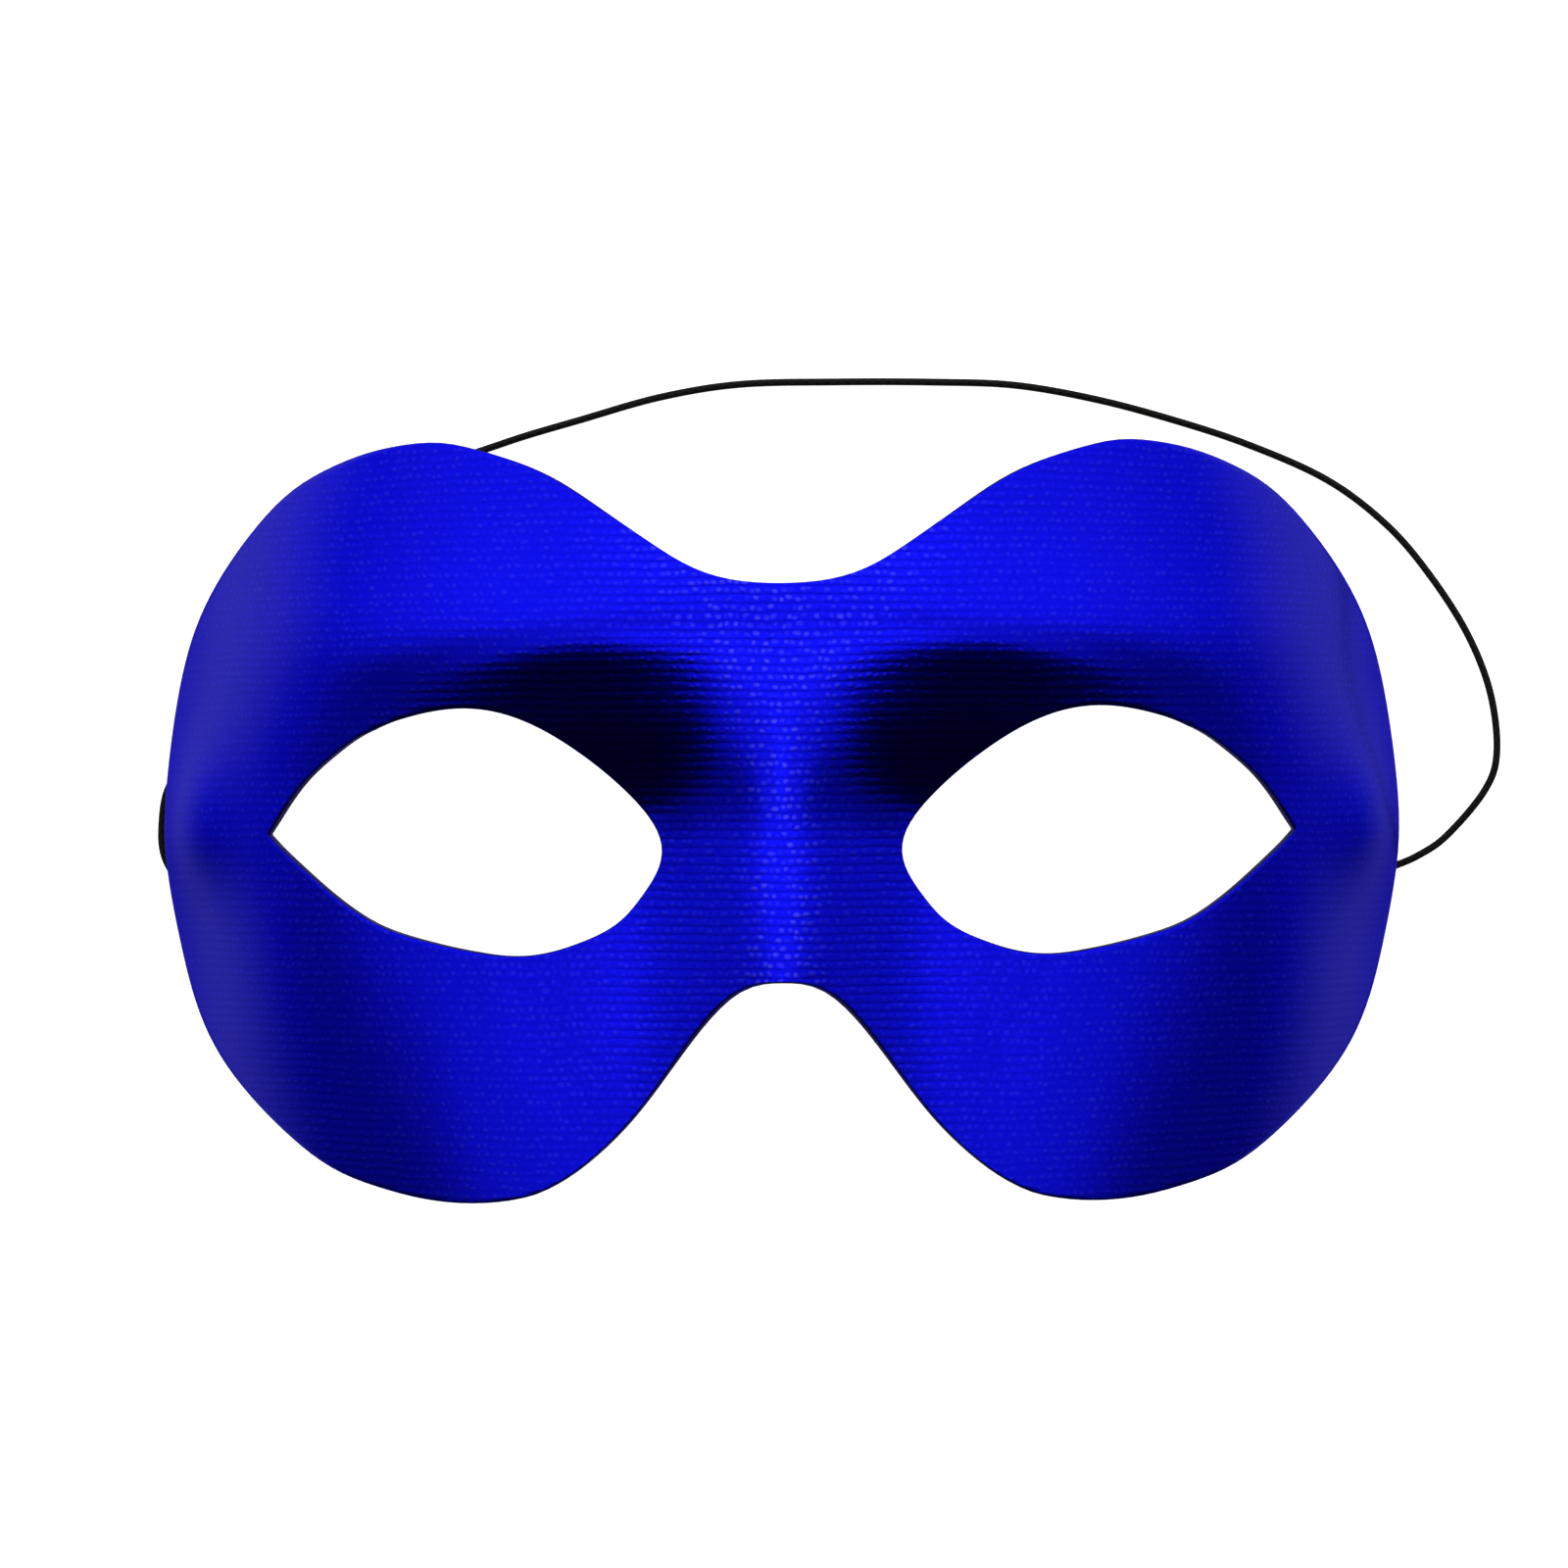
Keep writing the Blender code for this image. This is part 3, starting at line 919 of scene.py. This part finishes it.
def knit_pattern(finish, place, parts):
    """The ribs, the loops on them, and a random share for each loop."""
    sway = finish.between(finish.noise(place, SWAY_SCALE, detail=2.0), -SWAY, SWAY)
    ripple = finish.between(finish.noise(place, RIPPLE_SCALE, detail=1.0), -RIPPLE, RIPPLE)
    row = finish.math("DIVIDE", finish.total(parts["Y"], finish.total(sway, ripple)), RIB_PITCH)
    row_number = finish.math("FLOOR", row)
    row_share = finish.math("SUBTRACT", finish.math("FRACT", row), 0.5)
    rib = finish.range(finish.product(row_share, row_share), 0.0, 0.25, 1.0, 0.0)
    wander = finish.between(finish.noise(place, WANDER_SCALE, detail=1.0), -WANDER, WANDER)
    column = finish.math("DIVIDE", parts["X"], LOOP_PITCH)
    column = finish.total(column, wander, finish.product(row_number, 0.5))
    column_share = finish.math("SUBTRACT", finish.math("FRACT", column), 0.5)
    chances = finish.chances(finish.math("FLOOR", column), row_number)
    shift_aside = finish.between(chances["X"], -LOOP_SHIFT_ASIDE, LOOP_SHIFT_ASIDE)
    shift_above = finish.between(chances["Y"], -LOOP_SHIFT_ABOVE, LOOP_SHIFT_ABOVE)
    aside = finish.total(column_share, shift_aside)
    above = finish.total(row_share, shift_above)
    aside = finish.product(aside, LOOP_NARROWNESS, aside)
    above = finish.product(above, LOOP_FLATNESS, above)
    loop = finish.range(finish.total(aside, above), 0.0, LOOP_REACH, 1.0, 0.0)
    return rib, loop, chances["Z"]


def cloth_finish():
    """Shiny blue knit: level ribs of small loops, with painted glints on some loops, painted shade in
    the grooves, painted highlights down the middle and a painted sheen at a slant.
    """
    finish = Finish("ribbed_blue_cloth", roughness=0.24, metallic=1.0)
    place = finish.attribute("cloth_place")["Vector"]
    parts = finish.split(place)
    from_middle = finish.math("ABSOLUTE", parts["X"])
    rib, loop, chance = knit_pattern(finish, place, parts)
    near_middle = finish.soft(from_middle, *MIDDLE_REACH, 1.0, 0.0)
    grain = finish.noise(place, GRAIN_SCALE, detail=2.0)

    rib_depth = finish.by_noise(finish.noise(place, RIB_DEPTH_SCALE, detail=2.0), *RIB_DEPTH)
    rib_depth = finish.product(rib_depth, finish.between(near_middle, *RIB_DEPTH_BY_MIDDLE))
    height = finish.total(
        finish.product(rib, rib_depth),
        finish.product(loop, finish.between(chance, *LOOP_HEIGHT)),
        finish.product(grain, GRAIN_HEIGHT),
    )
    finish.bump(height, strength=1.0, distance=KNIT_HEIGHT)

    # Painted highlight down the nose ridge and brow, which also sets where the painted glints gather
    highlight_spread = finish.soft(parts["Y"], *PAINTED_HIGHLIGHT_RISE, *PAINTED_HIGHLIGHT_SPREAD)
    painted_highlight = finish.soft(from_middle, finish.product(highlight_spread, PAINTED_HIGHLIGHT_CORE), highlight_spread, 1.0, 0.0)
    coarse = finish.between(near_middle, *GRAIN_SHADE)
    deep_grain = finish.math("SUBTRACT", 1.0, coarse)
    pale_grain = finish.math("ADD", 1.0, coarse)
    # Knit tone, times painted shade in the grooves and painted highlights down the middle
    tone_and_painted_light = finish.product(
        # Painted shade: the grooves between the ribs are darkened, most down the middle of the mask
        finish.range(rib, 0.0, RIB_CREST, finish.between(near_middle, *GROOVE_PAINTED_SHADE), 1.0),
        # Painted light: the cloth colour is brighter down the middle of the mask, where the light falls
        # most
        finish.between(near_middle, *MIDDLE_PAINTED_LIGHT),
        finish.between(painted_highlight, *PAINTED_HIGHLIGHT_GAIN),
        finish.between(loop, *LOOP_SHADE),
        finish.by_noise(grain, deep_grain, pale_grain),
        finish.by_noise(finish.noise(place, PATCH_SCALE, detail=3.0), *PATCH_SHADE),
        finish.range(finish.attribute("edge_distance")["Fac"], 0.0, EDGE_DARK_WIDTH, *EDGE_SHADE),
    )
    blue = finish.mix(tone_and_painted_light, CLOTH_DEEP, CLOTH_BLUE)

    # Painted glints: loops on the bright middle get a paler colour mixed in
    painted_glint = finish.math("POWER", finish.between(chance, *PAINTED_GLINT_CHANCE), PAINTED_GLINT_RARITY)
    painted_glint = finish.product(loop, finish.between(painted_highlight, *PAINTED_GLINT_SHARE), painted_glint)
    blue = finish.mix(painted_glint, blue, PAINTED_GLINT_COLOUR)
    # Painted sheen: the cloth colour turns paler where the surface is seen at a slant
    facing = finish.node("ShaderNodeLayerWeight").outputs["Facing"]
    painted_sheen = finish.soft(facing, *PAINTED_SHEEN_FACING, 0.0, PAINTED_SHEEN_SHARE)
    finish.give("Base Color", finish.mix(painted_sheen, blue, PAINTED_SHEEN_COLOUR))
    finish.give("Specular Tint", CLOTH_GLOSS_TINT)
    return finish.material


def backing_finish():
    """Black moulded backing with a fine even grain and a few paler scuffs."""
    finish = Finish("black_moulding", roughness=0.55, metallic=0.0)
    place = finish.own_place()
    grain = finish.noise(place, MOULDING_GRAIN_SCALE, detail=4.0)
    scuffs = finish.range(finish.noise(place, SCUFF_SCALE, detail=5.0), *SCUFF_SPAN, 0.0, 1.0)
    finish.give("Base Color", finish.mix(scuffs, MOULDING_BLACK, MOULDING_SCUFF))
    finish.give("Specular IOR Level", MOULDING_GLOSS)
    finish.give("Roughness", finish.by_noise(grain, *MOULDING_ROUGHNESS))
    finish.bump(grain, strength=0.35, distance=0.00015)
    return finish.material


def felt_finish():
    """Black felt of the pads, with a loose nap."""
    finish = Finish("black_felt", roughness=0.95, metallic=0.0)
    nap = finish.noise(finish.own_place(), NAP_SCALE, detail=5.0)
    finish.give("Base Color", finish.mix(nap, FELT_BLACK, FELT_NAP))
    finish.give("Specular IOR Level", FELT_GLOSS)
    finish.give("Sheen Weight", FELT_SHEEN)
    finish.bump(nap, strength=0.8, distance=0.0003)
    return finish.material


def braid_strands(finish, turns):
    """How high the strands stand that wind one way round the elastic."""
    return finish.math("ABSOLUTE", finish.math("SINE", finish.product(turns, math.pi)))


def elastic_finish():
    """Black elastic with a fine crossed braid over its rubber core."""
    finish = Finish("black_braid", roughness=0.62, metallic=0.0)
    parts = finish.split(finish.attribute("cord_place")["Vector"])
    turns = finish.product(parts["Y"], BRAID_STRANDS)
    steps = finish.math("DIVIDE", parts["X"], BRAID_PITCH)
    rising = braid_strands(finish, finish.math("ADD", turns, steps))
    falling = braid_strands(finish, finish.math("SUBTRACT", turns, steps))
    braid = finish.math("MAXIMUM", rising, falling)
    crests = finish.math("POWER", braid, BRAID_CONTRAST)
    finish.give("Base Color", finish.mix(crests, BRAID_GAP, BRAID_THREAD))
    finish.give("Specular IOR Level", BRAID_GLOSS)
    finish.bump(braid, strength=0.8, distance=0.00012)
    return finish.material


def floor_finish():
    """Plain white paper, softly lit through."""
    finish = Finish("white_paper", roughness=0.9, metallic=0.0)
    fibre = finish.noise(finish.own_place(), FIBRE_SCALE, detail=2.0)
    finish.give("Base Color", finish.mix(fibre, PAPER_WHITE, PAPER_FIBRE))
    finish.give("Emission Color", LIGHT_WHITE)
    finish.give("Emission Strength", PAPER_GLOW)
    return finish.material


def set_world():
    """Soft light from above and from beyond the forehead, dark beyond the cheeks, over pale ground."""
    world = bpy.data.worlds.new("soft_studio")
    world.use_nodes = True
    studio = Nodes(world.node_tree)
    parts = studio.split(studio.node("ShaderNodeTexCoord").outputs["Generated"])
    across = studio.math("ABSOLUTE", parts["X"])
    up = parts["Y"]
    dark_edge = studio.soft(across, *MIDDLE_SPAN, MIDDLE_DARK_EDGE, INNER_DARK_EDGE)
    dark_edge = studio.soft(across, *SIDE_SPAN, dark_edge, SIDE_DARK_EDGE)
    past_edge = studio.math("SUBTRACT", up, dark_edge)
    lit = studio.soft(past_edge, -DARK_EDGE_WIDTH, DARK_EDGE_WIDTH, 0.0, 1.0)
    overhead = studio.soft(up, *OVERHEAD_SPAN, OVERHEAD_LIGHT, CHEEK_OVERHEAD_LIGHT)
    reach = studio.soft(up, *REACH_SPAN, *CHEEK_REACH)
    cheek = studio.soft(across, CHEEK_START, reach, overhead, CHEEK_LIGHT)
    side_share = studio.soft(up, *SIDE_RISE_SPAN, LOW_SIDE_SHARE, HIGH_SIDE_SHARE)
    cheek = studio.product(cheek, studio.soft(across, *FAR_SIDE_SPAN, 1.0, side_share))
    forehead = studio.soft(across, *FAR_FOREHEAD_SPAN, FOREHEAD_LIGHT, FAR_FOREHEAD_LIGHT)
    light = studio.soft(up, *FOREHEAD_SPAN, cheek, forehead)
    light = studio.between(lit, DARK_LIGHT, light)
    ground = studio.soft(up, *GROUND_RISE_SPAN, LOW_GROUND_LIGHT, HIGH_GROUND_LIGHT)
    light = studio.soft(across, *HORIZON_SPAN, light, ground)
    light = studio.soft(parts["Z"], *GROUND_SPAN, light, ground)
    share = studio.range(parts["X"], -1.0, 1.0, LEFT_LIGHT_SHARE, RIGHT_LIGHT_SHARE)
    background = studio.tree.nodes["Background"]
    studio.join(studio.product(light, share), background.inputs["Strength"])
    background.inputs["Color"].default_value = LIGHT_WHITE
    bpy.context.scene.world = world


def set_studio():
    """White paper under the mask, in a softly lit studio."""
    bpy.ops.object.select_all(action="DESELECT")
    bpy.ops.mesh.primitive_plane_add(size=FLOOR_SIZE)
    floor = bpy.context.object
    floor.name = "floor"
    floor.data.materials.append(floor_finish())
    floor.visible_glossy = False
    set_world()
    bpy.context.scene.view_settings.view_transform = "Standard"


def dress_mask():
    """Makes every piece and sets it in the part's place."""
    elastic, line = lay_cord(elastic_finish())
    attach(elastic, "root")
    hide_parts("elastic_cord")
    cover = moulded_wall("cloth_cover", 0.0, EDGE_REVEAL, COVER_WALL, cloth_finish())
    keep_cloth_places(cover)
    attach(cover, "root")
    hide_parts("fabric_cover")
    backing = moulded_wall("backing", COVER_WALL + LAYER_GAP, 0.0, BACKING_WALL, backing_finish())
    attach(backing, "root")
    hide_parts("backing_shell")
    felt = felt_finish()
    for name, side, node in (("pad_left", -1, "cord_pad_left"), ("pad_right", 1, "cord_pad_right")):
        pad = glued_pad(name, side, felt)
        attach(pad, "root")
        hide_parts(node)


set_camera()
dress_mask()
set_studio()
